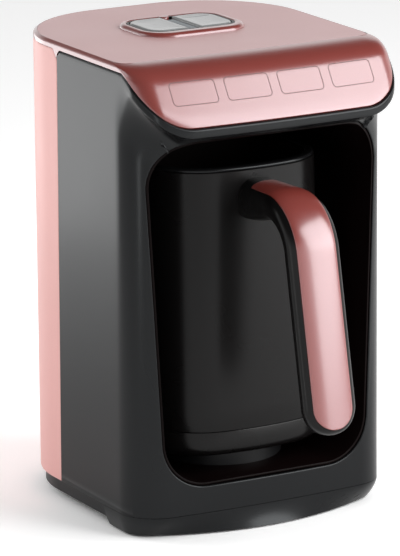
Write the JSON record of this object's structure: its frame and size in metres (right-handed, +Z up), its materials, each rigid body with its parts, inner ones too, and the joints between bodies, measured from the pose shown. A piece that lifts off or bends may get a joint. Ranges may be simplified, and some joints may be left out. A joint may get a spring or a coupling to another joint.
{
  "type": "electric turkish coffee maker",
  "caption": "D-shaped electric Turkish coffee maker with a niche that holds a handled pot on a hotplate, a sloping nose above it and a pair of keys on top.",
  "frame": {"origin": "on the table, under the centre of the whole footprint from the handle's tip to the cord gland", "axes": "+Z up, the niche and the pot's handle face -Y, +X to the right of someone looking along +Y at the front"},
  "size_m": [0.156, 0.233, 0.2579],
  "materials": {
    "rose_shell": "pale rose metallic lacquer, satin",
    "rose_copper": "copper-rose metallic lacquer, glossy",
    "rose_plate": "pale rose metallic, fine satin",
    "black_gloss": "black, semi-gloss",
    "black_matt": "black, fine matt texture",
    "key_grey": "pale grey, satin",
    "bar_grey": "slate grey, satin",
    "steel": "brushed",
    "spring_steel": "bright",
    "cast_plate": "turned, satin",
    "element_steel": "dark, heat-tinted",
    "ceramic": "unglazed",
    "green_board": "solder mask",
    "brown_board": "bare laminate",
    "rubber": "matt",
    "lens": "dark red, clear"
  },
  "bodies": {
    "machine": {"front_housing": "black_gloss", "rear_shell": "rose_shell", "top_cover": "rose_copper", "top_plate": "rose_plate", "niche_liner": "black_matt", "sensor_lens": "lens", "button_bezel": "rose_copper", "button_frame": "black_matt", "key_divider": "bar_grey", "key_springs": "spring_steel", "control_board": "green_board", "board_screws": "spring_steel", "hotplate": "cast_plate", "heating_element": "element_steel", "thermal_cutout": "ceramic", "power_board": "brown_board", "base_plate": "black_matt", "rubber_feet": "rubber", "base_screws": "spring_steel", "cord_gland": "rubber"},
    "pot": {"pot_shell": "black_gloss", "pot_cup": "steel", "pot_base_ring": "black_gloss", "pot_sole": "steel", "pot_handle": "black_gloss", "handle_insert": "rose_copper", "handle_screws": "spring_steel"},
    "left_key": {"left_key": "key_grey"},
    "right_key": {"right_key": "key_grey"}
  },
  "joints": [
    {"name": "pot_slide", "type": "slide", "parent": "machine", "child": "pot", "axis": [0, -1, 0], "range_m": [0, 0.13]},
    {"name": "left_key_press", "type": "slide", "parent": "machine", "child": "left_key", "axis": [0, 0, -1], "range_m": [0, 0.001], "stiffness_N_per_m": 1500, "springref_m": -0.0003},
    {"name": "right_key_press", "type": "slide", "parent": "machine", "child": "right_key", "axis": [0, 0, -1], "range_m": [0, 0.001], "stiffness_N_per_m": 1500, "springref_m": -0.0003}
  ]
}
